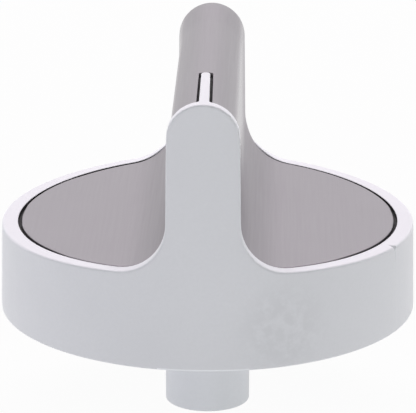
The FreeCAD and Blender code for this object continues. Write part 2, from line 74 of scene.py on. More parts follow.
class KnobSizes(bpy.types.PropertyGroup):
    """Sizes of the moulding, the cover and the stem."""

    rim_radius: length("Rim radius", "Radius where wall and deck meet", 0.025)
    skirt_height: length("Skirt height", "Skirt's lower edge to the rim", 0.01065)
    wall_draft: angle("Wall draft", "Taper of the outer wall", 1.17)
    deck_slope: angle("Deck slope", "Rise of the deck towards the grip", 2.73)
    grip_height: length("Grip height", "Skirt's lower edge to the grip's top", 0.03168)
    grip_draft: angle("Grip draft", "Taper of the grip's sides", 0.61)
    arch_radius: length("Arch radius", "Half-round top of the grip", 0.00419)
    valley_radius: length("Valley radius", "Sweep from the deck into the grip", 0.00596)
    rim_round: length("Rim rounding", "Rounding of the outer upper edges", 0.00027)
    foot_round: length("Lower rounding", "Rounding of the lower edges", 0.00025)
    recess_across: length("Recess across", "Half width of the recess", 0.02307)
    recess_along: length("Recess along", "Half length of the recess", 0.02344)
    recess_round: length("Recess rounding", "Rounding of the land's inner edge", 0.00008)
    dish_setback: length("Dish setback", "Cover's face below the deck's land", 0.00004)
    grip_setback: length("Grip setback", "Cover's face inside the grip's land", 0.00034)
    cover_sheet: length("Cover sheet", "Thickness of the stainless sheet", 0.0005)
    cover_gap: length("Cover gap", "Gap round the cover's edge", 0.00037)
    cover_round: length("Cover edge", "Rounding of the cover's edge", 0.00012)
    rear_setback: length("Rear setback", "Cover's face inside the grip at the rear end", 0.00002)
    rear_flare: length("Rear flare", "Length over which the cover widens there", 0.009)
    tab_width: length("Tab width", "Width of a bent tab", 0.006)
    tab_inset: length("Tab inset", "Tab's outer face inside the cover's edge", 0.00026)
    tab_foot: length("Tab foot", "Length of the tab's foot under the deck", 0.003)
    tab_bend: length("Tab bend", "Radius where the cover turns down into a tab", 0.0003)
    pointer_width: length("Pointer width", "Width of the pointer at its rear end", 0.00104)
    pointer_root: length("Pointer root", "Width of the pointer at the land", 0.00116)
    pointer_rear: length("Pointer end", "Rear end of the pointer from the axis", 0.0102)
    pointer_gap: length("Pointer gap", "Gap beside the pointer", 0.0003)
    slot_run: length("Slot run", "How far the slot runs past the pointer", 0.00168)
    slot_bow: share("Slot end", "Roundness of the slot's rear end", 0.1)
    cover_shift: length("Cover shift", "How far the cover's dishes lie to the rear", 0.00024)
    settle_rear: length("Shift from, rear", "Where the shift starts at the right, at the rear", 0.006)
    settle_front: length("Shift from, front", "Where the shift starts elsewhere", 0.0155)
    crest_draw: length("Crest draw", "How far the cover's front edge draws back on the grip", 0.0004)
    pointer_flare: length("Pointer flare", "Radius where the pointer meets the land", 0.0003)
    pointer_lean: length("Pointer lean", "Sideways drift of the pointer's front end", 0.0001)
    skirt_wall: length("Skirt wall", "Thickness of the skirt", 0.002)
    deck_wall: length("Deck wall", "Thickness of the deck", 0.002)
    grip_wall: length("Grip wall", "Thickness of the cored grip", 0.0016)
    rib_thickness: length("Rib thickness", "Stiffening ribs under the deck", 0.0012)
    rib_recess: length("Rib recess", "Ribs above the skirt's lower edge", 0.0025)
    rib_angle: angle("First rib", "Angle of the first rib from the X axis", 45.0)
    rib_count: IntProperty(name="Ribs", description="Number of stiffening ribs", default=4, min=1)
    stem_radius: length("Stem radius", "Outside of the stem", 0.00516)
    stem_length: length("Stem length", "Stem's foot below the skirt's lower edge", 0.01268)
    lead_in_radius: length("Lead-in radius", "Round mouth of the bore", 0.0033)
    lead_in_depth: length("Lead-in depth", "Depth of the round mouth", 0.005)
    bore_radius: length("Bore radius", "Round side of the D bore", 0.00305)
    bore_depth: length("Bore depth", "Depth of the D bore", 0.019)
    flat_distance: length("Flat", "Flat of the D from the axis", 0.00165)
    pocket_half: length("Clip pocket", "Half width of the clip's pocket", 0.0016)
    pocket_depth: length("Pocket depth", "Clip's pocket behind the flat", 0.00075)
    nick_angle: angle("Nick place", "Place of the nick round the rim", -26.2)
    nick_depth: length("Nick depth", "How deep the nick goes into the rim's edge", 0.0003)


class KnobFinish(bpy.types.PropertyGroup):
    """Colours and sheen of the pieces and the stage."""

    body: colour("Moulding", "Colour of the moulded plastic", (0.765, 0.785, 0.815))
    body_roughness: share("Moulding roughness", "Roughness of the moulded plastic", 0.42)
    # Near-black painted shade for the gap round the cover
    gap: colour("Gap", "Colour of the plastic in the gap round the cover", (0.02, 0.019, 0.021))
    cover: colour("Cover", "Colour of the stainless cover", (0.315, 0.292, 0.318))
    cover_roughness: share("Cover roughness", "Roughness of the stainless cover", 0.36)
    clip: colour("Clip", "Colour of the spring steel", (0.30, 0.30, 0.32))
    floor: colour("Floor", "Colour of the floor", (0.5, 0.5, 0.5))
    floor_white: share("Floor white", "Plain white in what the camera sees of the floor", 0.96)
    floor_glow: share("Floor glow", "Plain white in what the floor gives the knob", 0.35)


def steps(count):
    """Shares from just past 0 to 1."""
    return [k / count for k in range(1, count + 1)]


def span(count):
    """Shares from 0 to 1."""
    return [0.0, *steps(count)]


# Columns of one side of a face, as shares along each part of its outline, from the deck's
# end to the crest's middle. On the deck they stand close together at the nick.
NICK_SHARE = 0.4006
NICK_STEPS = [0.0, 0.0012, 0.0024, 0.0038, 0.0052, 0.007, 0.0095, 0.013]
NICK_COLUMNS = [NICK_SHARE + side * step for step in NICK_STEPS for side in (1, -1)]
DECK = sorted({*span(26), *NICK_COLUMNS})
VALLEY = steps(14)
FLANK = steps(10)
ARCH = steps(9)
CORNER = steps(5)
CREST = steps(6)
# The crest's middle, the slot's edge, and where the rungs across the grip's end stop
SIDE = sum(len(part) for part in (DECK, VALLEY, FLANK, ARCH, CORNER, CREST)) - 1
SLOT_EDGE = SIDE - len(CREST)
LADDER = len(DECK) + len(VALLEY) // 2 - 1
# Counts of rows along a face, its wall and its ceiling, and of steps across the grip's end
FRONT_ROWS = 14
REAR_ROWS = 24
WALL_ROWS = 6
CEILING_ROWS = 24
ACROSS_GRIP = 14
# Shares from a land's outer edge to its inner one, and over the pointer's rounded end
LAND_SHARES = (0.0, 0.05, 0.14, 0.4, 0.7, 0.93, 1.0)
POINTER_END_SHARES = (0.0, 0.5, 0.85, 1.0)
# Points closer than this are one
MERGE = 1e-6


def lerp(a, b, t):
    """The value a share t of the way from a to b."""
    return a + (b - a) * t


def between(a, b, t):
    """The point a share t of the way from a to b."""
    return tuple(lerp(p, q, t) for p, q in zip(a, b))


def ease(t):
    """0 to 1 with soft ends."""
    t = min(max(t, 0.0), 1.0)
    return t * t * (3 - 2 * t)


def grip_share(i):
    """How far a column belongs to the grip: 0 on the deck, 1 on the flank and the crest."""
    return ease((min(i, 2 * SIDE - i) - len(DECK)) / (len(VALLEY) - 3))


def arc(x, z, radius, start, end, shares):
    """Points along an arc round a centre."""
    turns = [lerp(start, end, t) for t in shares]
    return [(x + radius * cos(a), z + radius * sin(a)) for a in turns]


class Skyline:
    """Outline of one face seen along the grip: deck, valley, flank and half-round top.

    drop is how far the face lies below the moulding's deck, inset how far inside its grip.
    """

    def __init__(self, size, drop=0.0, inset=0.0):
        self.size, self.drop, self.inset = size, drop, inset
        self.slope, self.draft = size.deck_slope, size.grip_draft
        self.radius = size.arch_radius - inset
        self.sweep = size.valley_radius + (drop + inset) / 2
        self.centre_z = size.grip_height - size.arch_radius
        side = self.radius + self.sweep + self.centre_z * sin(self.draft)
        deck = (self.sweep + size.rim_radius * sin(self.slope)
                + (size.skirt_height - drop) * cos(self.slope))
        spread = cos(self.draft + self.slope)
        self.sweep_x = (side * cos(self.slope) - deck * sin(self.draft)) / spread
        self.sweep_z = (deck * cos(self.draft) - side * sin(self.slope)) / spread

    def inside(self, by):
        """The same outline set inwards all along."""
        return Skyline(self.size, self.drop + by / cos(self.slope), self.inset + by)

    def deck_z(self, x):
        return self.size.skirt_height - self.drop + (self.size.rim_radius - x) * tan(self.slope)

    def arch_z(self, x):
        return self.centre_z + sqrt(max(self.radius ** 2 - x ** 2, 0.0))

    def foot_x(self):
        """Where the flank ends and the valley starts."""
        return self.sweep_x - self.sweep * cos(self.draft)

    def side(self, reach, half, corner, shift):
        """Points of one side, from its outer end at reach to the crest's middle."""
        inner = self.sweep_x - self.sweep * sin(self.slope)
        start = asin(inner / reach)
        deck = [reach * sin(lerp(pi / 2, start, t)) for t in DECK]
        points = [(x, self.deck_z(x)) for x in deck]
        points += arc(self.sweep_x, self.sweep_z, self.sweep,
                      1.5 * pi - self.slope, pi + self.draft, VALLEY)
        last = acos((shift + half + corner) / self.radius)
        arch = arc(0.0, self.centre_z, self.radius, self.draft, last, [0.0, *ARCH])
        foot = points[-1]
        points += [between(foot, arch[0], t) for t in FLANK] + arch[1:]
        crest = [shift + half + corner * (1 - sin(t * pi / 2)) for t in CORNER]
        crest += [shift + half * cos(t * pi / 2) for t in CREST]
        points += [(x, self.arch_z(x)) for x in crest]
        return points

    def columns(self, reach, half, corner, shift=0.0):
        """Points right across, from the +X end to the -X end."""
        right = self.side(reach, half, corner, shift)
        left = self.side(reach, half, corner, -shift)
        return right + [(-x, z) for x, z in reversed(left[:-1])]

    def height(self, x):
        """Height of the outline at a distance from the middle."""
        x = abs(x)
        top_x, foot_x = self.radius * cos(self.draft), self.foot_x()
        if x < top_x:
            return self.arch_z(x)
        if x > self.sweep_x - self.sweep * sin(self.slope):
            return self.deck_z(x)
        if x > foot_x:
            return self.sweep_z - sqrt(max(self.sweep ** 2 - (self.sweep_x - x) ** 2, 0.0))
        foot_z = self.sweep_z - self.sweep * sin(self.draft)
        return lerp(foot_z, self.centre_z, (foot_x - x) / max(foot_x - top_x, MERGE))


class Draped:
    """One outline over the deck that passes into another over the grip."""

    def __init__(self, deck, grip):
        self.deck, self.grip, self.drop = deck, grip, deck.drop

    def inside(self, by):
        return Draped(self.deck.inside(by), self.grip.inside(by))

    def columns(self, *place):
        pairs = zip(self.deck.columns(*place), self.grip.columns(*place))
        return [between(*pair, grip_share(i) ** 3) for i, pair in enumerate(pairs)]


def cover_outline(size):
    """Outline of the cover's face."""
    return Skyline(size, size.dish_setback, size.grip_setback)


def seat_outline(size, below=0.0, within=0.0):
    """The recess floor that the cover lies on, or an outline further into the plastic."""
    return Skyline(size, size.dish_setback + size.cover_sheet + below,
                   size.grip_setback + size.cover_sheet + within)


def core_outline(size):
    """Halfway through the plastic of the deck and the grip, where hidden ends stop."""
    return seat_outline(size, size.deck_wall / 2, size.grip_wall / 2)


class Wall:
    """The drafted round wall, set in by an amount."""

    def __init__(self, size, inset=0.0):
        self.size, self.inset = size, inset

    def radius(self, z):
        size = self.size
        return size.rim_radius + (size.skirt_height - z) * tan(size.wall_draft) - self.inset

    def reach(self, skyline):
        """Half width of the wall where an outline's deck meets it."""
        size = self.size
        lift = tan(size.deck_slope) * tan(size.wall_draft)
        return size.rim_radius + (skyline.drop * tan(size.wall_draft) - self.inset) / (1 - lift)

    def depth(self, x, z):
        return sqrt(max(self.radius(z) ** 2 - x ** 2, 0.0))

    def point(self, turn, z, side):
        radius = self.radius(z)
        return radius * sin(turn), side * radius * cos(turn), z


class Oval:
    """The recess's edge seen from above, set in by gap and inset.

    At the grip's rear end it runs out to the wall, less short, and on top of the grip its
    front end is drawn back.
    """

    def __init__(self, size, gap=0.0, short=0.0, inset=0.0):
        self.across = size.recess_across - gap - inset
        self.along = size.recess_along - gap - inset
        self.wall = Wall(size, short + inset)
        self.crest_draw, self.crest_span = size.crest_draw, 2 * size.arch_radius
        self.crest_foot = size.grip_height - self.crest_span

    def depth(self, x, z):
        drawn = self.crest_draw * ease((z - self.crest_foot) / self.crest_span)
        return self.along * sqrt(max(1 - (x / self.across) ** 2, 0.0)) - drawn

    def back(self, i, x, z):
        """Distance of the rear edge from the axis at a column."""
        return lerp(self.depth(x, z), self.wall.depth(x, z), grip_share(i))


class Slot:
    """The pointer's outline widened by play, with its corners at the edge rounded."""

    def __init__(self, size, play=0.0, corner=None, run=0.0):
        self.size, self.play, self.run = size, play, run
        self.bow = size.slot_bow if run else 1.0
        self.corner = size.pointer_flare if corner is None else corner
        self.rear = run - size.pointer_rear - size.pointer_width / 2
        self.root = -size.recess_along

    def widened(self, by):
        return Slot(self.size, self.play + by, self.corner - by, self.run)

    def half(self, y):
        t = (self.rear - y) / (self.rear - self.root)
        return lerp(self.size.pointer_width, self.size.pointer_root, t) / 2 + self.play

    def shift(self, y):
        return self.size.pointer_lean * (self.rear - y) / (self.rear - self.root)


def beside_slot(i):
    """Whether a column lies outside the slot."""
    return i <= SLOT_EDGE or i >= 2 * SIDE - SLOT_EDGE


def corner_lift(slot, i):
    """How far the front edge draws back where a column meets the slot's rounded corner."""
    near = min(i, 2 * SIDE - i) - (SLOT_EDGE - len(CORNER))
    t = min(max(near / len(CORNER), 0.0), 1.0)
    return slot.corner * (1 - cos(t * pi / 2))


def slotted_face(skyline, edge, slot, end=None):
    """Rows of points over a face, front rows and rear rows, with the slot left open.

    Towards its rear end the face passes into the outline given as end.
    """
    reach = edge.across
    front_y = -edge.depth(0.0, skyline.arch_z(0.0))
    root = skyline.columns(reach, slot.half(front_y), slot.corner, slot.shift(front_y))
    rear = skyline.columns(reach, slot.half(slot.rear), slot.corner)
    last = (end or skyline).columns(reach, slot.half(slot.rear), slot.corner)
    front = [-edge.depth(x, z) + corner_lift(slot, i) for i, (x, z) in enumerate(root)]
    back = [edge.back(i, x, z) for i, (x, z) in enumerate(last)]
    split = []
    for i, (x, z) in enumerate(rear):
        if beside_slot(i):
            split.append(slot.rear * back[i] / back[SLOT_EDGE])
        else:
            bulge = sqrt(max(slot.half(slot.rear) ** 2 - x ** 2, 0.0))
            split.append(slot.rear + slot.bow * bulge)
    front_rows = []
    for t in span(FRONT_ROWS):
        y = lerp(front[SLOT_EDGE], slot.rear, t)
        columns = skyline.columns(reach, slot.half(y), slot.corner, slot.shift(y))
        front_rows.append([
            (x, lerp(front[i], split[i], t), z) if beside_slot(i) else None
            for i, (x, z) in enumerate(columns)])
    rear_rows = []
    for t in span(REAR_ROWS):
        row = []
        for i, (here, there) in enumerate(zip(rear, last)):
            y = lerp(split[i], back[i], t)
            x, z = between(here, there, ease(1 - (back[i] - y) / slot.size.rear_flare))
            row.append((x, y, z))
        rear_rows.append(row)
    return front_rows, rear_rows


def slotted_loop(skyline, edge, slot, end=None):
    """The edge of a slotted face in one round, always with the same number of points."""
    front_rows, rear_rows = slotted_face(skyline, edge, slot, end)
    left_edge = 2 * SIDE - SLOT_EDGE
    loop = list(rear_rows[-1])
    loop += [front_rows[0][i] for i in range(2 * SIDE - 1, left_edge - 1, -1)]
    loop += [row[left_edge] for row in front_rows[1:]]
    loop += [rear_rows[0][i] for i in range(left_edge - 1, SLOT_EDGE, -1)]
    loop += [row[SLOT_EDGE] for row in reversed(front_rows[1:])]
    loop += [front_rows[0][i] for i in range(SLOT_EDGE, 0, -1)]
    return loop


def put_in_scene(name, data):
    """A new object with this data, in the scene."""
    item = bpy.data.objects.new(name, data)
    bpy.context.scene.collection.objects.link(item)
    return item


SHARP = radians(38.0)
BROAD_FACE_WEIGHT = 60


class Shell:
    """Closed surface put together from strips of points."""

    def __init__(self, size):
        self.base, self.paint = size.stem_length, 0
        self.mesh = bmesh.new()

    def face(self, *corners):
        points = []
        for corner in corners:
            if corner is None:
                return
            if all((Vector(corner) - Vector(other)).length > MERGE for other in points):
                points.append(corner)
        if len(points) > 2:
            self.cap(points).material_index = self.paint

    def cap(self, row):
        """One face over a whole row of points."""
        return self.mesh.faces.new([self.mesh.verts.new((x, y, z + self.base)) for x, y, z in row])

    def strip(self, first, second, closed=False):
        count = len(first) if closed else len(first) - 1
        for i in range(count):
            j = (i + 1) % len(first)
            self.face(first[i], first[j], second[j], second[i])

    def rows(self, rows, closed=False):
        for first, second in zip(rows, rows[1:]):
            self.strip(first, second, closed)

    def bar(self, rows):
        """Closed rows with a cap over each end."""
        self.rows(rows, closed=True)
        self.cap(rows[0])
        self.cap(rows[-1])

    def merge(self):
        bmesh.ops.remove_doubles(self.mesh, verts=self.mesh.verts, dist=MERGE)

    def finish(self, name):
        """The surface as an object, its faces outwards and its sharp edges kept sharp."""
        self.merge()
        bmesh.ops.recalc_face_normals(self.mesh, faces=self.mesh.faces)
        data = bpy.data.meshes.new(name)
        self.mesh.to_mesh(data)
        self.mesh.free()
        data.validate()
        data.polygons.foreach_set("use_smooth", [True] * len(data.polygons))
        data.set_sharp_from_angle(angle=SHARP)
        return put_in_scene(name, data)


def rounding(radius, count):
    """(set in along the face, drop below it) for the points of a quarter round."""
    return [(radius * (1 - sin(t * pi / 2)), radius * (1 - cos(t * pi / 2))) for t in span(count)]


def even_normals(piece):
    """Lets broad faces keep their own shading beside narrow roundings."""
    modifier = piece.modifiers.new("Even shading", "WEIGHTED_NORMAL")
    modifier.keep_sharp = True
    modifier.weight = BROAD_FACE_WEIGHT


def rim_chain(skyline, wall, rear=None):
    """Outer edge of a face in two rows, rear and front."""
    size, chains = wall.size, []
    for side, outline in ((1, rear or skyline), (-1, skyline)):
        columns = outline.columns(wall.reach(outline), size.pointer_width / 2, size.pointer_flare)
        chains.append([(x, side * wall.depth(x, z), z) for x, z in columns])
    return chains


def drafted_wall(shell, skyline, wall, bottom, near_top=(), rear=None):
    """One face of the skirt and the grip's ends, down from the skyline.

    Gives the turns of its columns, rear and front.
    """
    last = 2 * SIDE
    ends = []
    for side, chain in zip((1, -1), rim_chain(skyline, wall, rear)):
        ladder = []
        for i in range(SIDE, LADDER - 1, -1):
            start, stop = (atan2(x, abs(y)) for x, y, z in (chain[i], chain[last - i]))
            rung = [wall.point(lerp(start, stop, t), chain[i][2], side) for t in span(ACROSS_GRIP)]
            rung[0], rung[-1] = chain[i], chain[last - i]
            ladder.append(rung)
        shell.rows(ladder)
        top = chain[:LADDER] + ladder[-1] + chain[last - LADDER + 1:]
        turns = [atan2(x, abs(y)) for x, y, z in top]
        rows = [top]
        for drop in near_top:
            rows.append([wall.point(a, z - drop, side) for a, (x, y, z) in zip(turns, top)])
        first = rows[-1]
        for t in steps(WALL_ROWS):
            rows.append([wall.point(a, lerp(z, bottom, t), side)
                         for a, (x, y, z) in zip(turns, first)])
        shell.rows(rows)
        ends.append(turns)
    return ends


def ring(turns, radius, z):
    """Level ring at the turns of a wall's columns."""
    rear = [(radius * sin(a), radius * cos(a), z) for a in turns[0]]
    front = [(radius * sin(a), -radius * cos(a), z) for a in reversed(turns[1])]
    return rear + front[1:-1]


def mix_rows(a, b, t):
    """A row of points a share t of the way between two rows."""
    return [between(u, v, t) if u and v else None for u, v in zip(a, b)]


def add_land(shell, size, face, end, oval, slot):
    """The land round the recess with the pointer rib that runs back from it."""
    outer_rear, outer_front = rim_chain(face, Wall(size, size.rim_round), end)
    front_rows, rear_rows = slotted_face(face, oval, slot, end)
    shell.rows([mix_rows(outer_rear, rear_rows[-1], t) for t in LAND_SHARES])
    shell.rows([mix_rows(outer_front, front_rows[0], t) for t in LAND_SHARES])
    crest = range(SLOT_EDGE, 2 * SIDE - SLOT_EDGE + 1)
    rows = []
    for row in front_rows:
        y = row[SLOT_EDGE][1]
        columns = face.columns(oval.across, slot.half(y), slot.corner, slot.shift(y))
        rows.append([(columns[i][0], y, columns[i][1]) for i in crest])
    start, round_end = [outer_front[i] for i in crest], [rear_rows[0][i] for i in crest]
    shell.rows([mix_rows(start, rows[0], t) for t in LAND_SHARES] + rows[1:])
    shell.rows([mix_rows(rows[-1], round_end, t) for t in POINTER_END_SHARES])


NICK_REACH = 4
NICK_STEEPNESS = 1.6
NICK_LEAN = 0.2


def cut_nick(mesh, size):
    """Small V-shaped nick across the rim's edge, leaning a little along it."""
    turn = size.nick_angle
    outward, along = Vector((cos(turn), sin(turn), 0)), Vector((-sin(turn), cos(turn), 0))
    tip = outward * (size.rim_radius - size.nick_depth)
    tip.z = size.stem_length + size.skirt_height - size.nick_depth
    for vertex in mesh.verts:
        away = vertex.co - tip
        if away.length < NICK_REACH * size.nick_depth:
            beside = abs(away.dot(along) + NICK_LEAN * away.z)
            over = away.dot(outward) + away.z - NICK_STEEPNESS * beside
            if over > 0:
                vertex.co -= (outward + Vector((0, 0, 1))) * (over / 2)


STEM_TURNS = 80
CLEAR_OF_CORNER = 0.02


def stem_outline(size):
    """Turns round the stem, the bore's corners among them, and the D bore's radius at a turn."""
    flat, half = size.flat_distance, size.pocket_half
    pocket = flat + size.pocket_depth
    lift = asin(flat / size.bore_radius)
    corners = [lift, atan2(flat, half), atan2(pocket, half)]
    corners += [pi - a for a in corners]
    turns = {round(2 * pi * k / STEM_TURNS, 9) for k in range(STEM_TURNS)}
    for a in corners:
        turns = {t for t in turns if min(abs(t - a), abs(2 * pi - t - a)) > CLEAR_OF_CORNER}
        turns |= {a, 2 * pi - a}

    def bore(a):
        x, y = cos(a), sin(a)
        if y <= 0 or size.bore_radius * y <= flat + MERGE:
            return size.bore_radius
        radius = flat / y
        if abs(radius * x) < half - MERGE:
            radius = min(pocket / y, half / max(abs(x), MERGE))
        return radius
    return sorted(turns), bore


def add_stem(shell, size, middle):
    """The stem with its stepped D bore, carried up into the grip's solid middle."""
    turns, bore = stem_outline(size)
    foot, r = -size.stem_length, size.foot_round

    def circle(radius, z):
        return [(radius * cos(a), radius * sin(a), z) for a in turns]

    outer = size.stem_radius
    top = [(x, y, middle.height(x)) for x, y, z in circle(outer, 0.0)]
    rows = [top, circle(outer, 0.0), circle(outer, foot + r)]
    rows += [circle(outer - drop, foot + inset) for inset, drop in rounding(r, 5)[1:]]
    mouth, lip = size.lead_in_radius, 0.0002
    step, end = foot + size.lead_in_depth, foot + size.bore_depth
    rows += [circle(mouth + lip, foot), circle(mouth, foot + lip), circle(mouth, step)]
    for z in (step, end):
        rows.append([(bore(a) * cos(a), bore(a) * sin(a), z) for a in turns])
    rows.append([(0.0, 0.0, end)] * len(turns))
    shell.rows(rows, closed=True)
    for i in range(len(turns) // 2):
        shell.face(top[i], top[i + 1], top[-i - 1], top[-i])


def add_underside(shell, size, turns, bottom_wall):
    """Lower edge, inside of the skirt and the cored ceiling."""
    r, inner_wall = size.foot_round, Wall(size, size.skirt_wall)
    rings = [ring(turns, bottom_wall.radius(inset) - drop, inset) for inset, drop in rounding(r, 5)]
    lip = 0.00015
    ceiling = seat_outline(size, size.deck_wall, size.grip_wall)
    inner_turns = drafted_wall(shell, ceiling, inner_wall, lip)
    inner = inner_wall.radius(0.0)
    rings += [ring(inner_turns, inner + drop, inset) for drop, inset in rounding(lip, 3)[::-1]]
    shell.rows([row + row[:1] for row in rings])
    rear, front = rim_chain(ceiling, inner_wall)
    shell.rows([mix_rows(front, rear, t) for t in span(CEILING_ROWS)])


# Material indices: the moulded plastic, and the gap's near-black painted shade
BODY_PAINT, GAP_SHADE_PAINT = 0, 1
# Drops of the rows close under the rim
NEAR_RIM = (0.0001, 0.0003)


def build_moulding(size):
    """Skirt, deck, grip and land with the recess, the cored underside and the stem.

    The recess below the cover's face gets the gap material, near-black painted shade.
    """
    shell = Shell(size)
    face, level, seat = Skyline(size), cover_outline(size), seat_outline(size)
    under = Skyline(size, seat.drop, size.rear_setback + size.cover_sheet)
    end, slot = Draped(face, under), Slot(size)
    r = size.recess_round

    def oval(inset):
        return Oval(size, 0.0, size.rim_round + 2 * r, inset)

    def loop(outline, inset=0.0):
        return slotted_loop(outline, oval(-inset), slot.widened(-inset), Draped(outline, under))

    add_land(shell, size, face, end, oval(-r), slot.widened(-r))
    loops = [loop(face.inside(drop), inset) for inset, drop in rounding(r, 3)] + [loop(level)]
    shell.rows(loops, closed=True)
    # The recess wall and floor under the cover get the near-black gap material, painted shade
    shell.paint = GAP_SHADE_PAINT
    shell.strip(loops[-1], loop(seat), closed=True)
    for rows in slotted_face(seat, oval(0.0), slot, Draped(seat, under)):
        shell.rows(rows)
    shell.paint = BODY_PAINT
    edge = [rim_chain(face.inside(drop), Wall(size, inset), end.inside(drop))
            for inset, drop in rounding(size.rim_round, 6)]
    for side in (0, 1):
        shell.rows([chains[side] for chains in edge])
    wall = Wall(size)
    turns = drafted_wall(shell, face.inside(size.rim_round), wall, size.foot_round, NEAR_RIM,
                         end.inside(size.rim_round))
    add_underside(shell, size, turns, wall)
    shell.merge()
    cut_nick(shell.mesh, size)
    add_stem(shell, size, core_outline(size))
    return shell.finish("moulding")


SLOT_CORNER = 0.0004
BACK_EDGE = 0.00004


def build_cover(size):
    """The pressed sheet, even in thickness, with its slot and its two tabs."""
    shell, face = Shell(size), cover_outline(size)
    end = Draped(face, Skyline(size, size.dish_setback, size.rear_setback))
    slot = Slot(size, size.pointer_gap, SLOT_CORNER, size.slot_run)

    def level(inset, drop):
        oval = Oval(size, size.cover_gap, size.rear_setback, inset)
        return face.inside(drop), oval, slot.widened(inset), end.inside(drop)

    levels = rounding(size.cover_round, 4)
    levels += [(0.0, size.cover_sheet - BACK_EDGE), (BACK_EDGE, size.cover_sheet)]
    shell.rows([slotted_loop(*level(*place)) for place in levels], closed=True)
    for place in (levels[0], levels[-1]):
        for rows in slotted_face(*level(*place)):
            shell.rows(rows)
    shell.merge()
    settle(shell.mesh, size)
    turn_down(shell.mesh, size)
    add_tabs(shell, size)
    return shell.finish("pressed_cover")


SETTLE_FADE = 0.003


def settle(mesh, size):
    """Lays the cover's dishes a little to the rear in the recess.

    At the right the shift starts closer to the grip towards the rear edge.
    """
    for vertex in mesh.verts:
        rear_share = 0.5 + vertex.co.y / (2 * size.recess_along)
        start = size.settle_front
        if vertex.co.x > 0:
            start = lerp(size.settle_front, size.settle_rear, rear_share)
        vertex.co.y += size.cover_shift * ease((abs(vertex.co.x) - start) / SETTLE_FADE)


BEND_MARGIN = 0.0004
BEND_FADE = 0.0006


def turn_down(mesh, size):
    """Bends the cover's edge down where its two tabs start."""
    oval = Oval(size, size.cover_gap)
    bend, end = size.tab_bend, size.tab_width / 2 + size.cover_shift + BEND_MARGIN
    for vertex in mesh.verts:
        y = abs(vertex.co.y - size.cover_shift)
        if y > end:
            continue
        edge = oval.across * sqrt(1 - (y / oval.along) ** 2)
        inside = max(edge - abs(vertex.co.x), 0.0)
        if inside < bend:
            fade = min((end - y) / BEND_FADE, 1.0)
            vertex.co.z -= fade * (bend - sqrt(bend ** 2 - (bend - inside) ** 2))


TAB_ROOT = 0.0002
TAB_EDGE = 0.00008
TAB_BEND_SHARE = 0.8


def add_tabs(shell, size):
    """The two tabs through the deck with their feet bent under it."""
    outer = size.recess_across - size.cover_gap - size.tab_inset
    inner = outer - size.cover_sheet
    heel = inner - size.tab_foot
    ceiling = seat_outline(size, size.deck_wall)
    under = seat_outline(size, size.deck_wall + size.cover_sheet)
    half, bend = size.tab_width / 2, size.cover_sheet * TAB_BEND_SHARE
    low, rise = under.deck_z(outer), size.deck_wall + TAB_ROOT
    outline = [(inner, ceiling.deck_z(inner) + rise), (outer, ceiling.deck_z(outer) + rise)]
    outline += [(outer - drop, low + inset) for inset, drop in rounding(bend, 5)]
    outline += [(heel, under.deck_z(heel)), (heel, ceiling.deck_z(heel)),
                (inner, ceiling.deck_z(inner))]
    centre = [sum(values) / len(outline) for values in zip(*outline)]
    for side in (1, -1):
        rows = []
        for y, inset in ((-half, TAB_EDGE), (-half + TAB_EDGE, 0.0), (half - TAB_EDGE, 0.0),
                         (half, TAB_EDGE)):
            row = [between(point, centre, inset / dist(point, centre)) for point in outline]
            rows.append([(side * x, y, z) for x, z in row])
        shell.bar(rows)


RIB_SECTIONS = 24
RIB_EDGE = 0.0002
RIB_INTO_STEM = 0.0004
RIB_INTO_SKIRT = 0.0006


def build_rib(size):
    """One stiffening rib along +X, its top hidden in the deck."""
    shell, middle = Shell(size), core_outline(size)
    half, low = size.rib_thickness / 2, size.rib_recess
    start = size.stem_radius - RIB_INTO_STEM
    end = size.rim_radius - size.skirt_wall + RIB_INTO_SKIRT
    rows = []
    for t in span(RIB_SECTIONS):
        x = lerp(start, end, t)
        section = [(half, middle.height(x * cos(size.rib_angle)))]
        section += [(half - drop, low + inset) for inset, drop in rounding(RIB_EDGE, 3)]
        section += [(-y, z) for y, z in reversed(section)]
        rows.append([(x, y, z) for y, z in section])
    shell.bar(rows)
    return shell.finish("stiffening_ribs")


def rib_tree(material):
    """Node tree that sets copies of a rib round the axis."""
    tree = bpy.data.node_groups.new("ribs_round_axis", "GeometryNodeTree")
    node, link = tree.nodes.new, tree.links.new

    def socket(name, way, kind):
        return tree.interface.new_socket(name, in_out=way, socket_type="NodeSocket" + kind)

    socket("Rib", "INPUT", "Geometry")
    socket("Ribs", "OUTPUT", "Geometry")
    count, first = socket("Count", "INPUT", "Int"), socket("First angle", "INPUT", "Float")
    first.subtype = "ANGLE"
    inputs, outputs = node("NodeGroupInput"), node("NodeGroupOutput")
    points = node("GeometryNodePoints")
    link(inputs.outputs["Count"], points.inputs["Count"])
    step, turn = node("ShaderNodeMath"), node("ShaderNodeMath")
    step.operation, turn.operation = "DIVIDE", "MULTIPLY_ADD"
    step.inputs[0].default_value = 2 * pi
    link(inputs.outputs["Count"], step.inputs[1])
    link(node("GeometryNodeInputIndex").outputs[0], turn.inputs[0])
    link(step.outputs[0], turn.inputs[1])
    link(inputs.outputs["First angle"], turn.inputs[2])
    rotation = node("ShaderNodeCombineXYZ")
    link(turn.outputs[0], rotation.inputs["Z"])
    copies = node("GeometryNodeInstanceOnPoints")
    link(points.outputs[0], copies.inputs["Points"])
    link(inputs.outputs["Rib"], copies.inputs["Instance"])
    link(rotation.outputs[0], copies.inputs["Rotation"])
    real = node("GeometryNodeRealizeInstances")
    link(copies.outputs[0], real.inputs[0])
    finish = node("GeometryNodeSetMaterial")
    finish.inputs["Material"].default_value = material
    link(real.outputs[0], finish.inputs["Geometry"])
    link(finish.outputs[0], outputs.inputs[0])
    return tree, count.identifier, first.identifier


def bake(piece):
    """Turns a piece's modifier result into its plain mesh."""
    graph = bpy.context.evaluated_depsgraph_get()
    data = bpy.data.meshes.new_from_object(piece.evaluated_get(graph))
    piece.modifiers.clear()
    piece.data = data
    data.name = piece.name


WHITE = (1.0, 1.0, 1.0, 1.0)


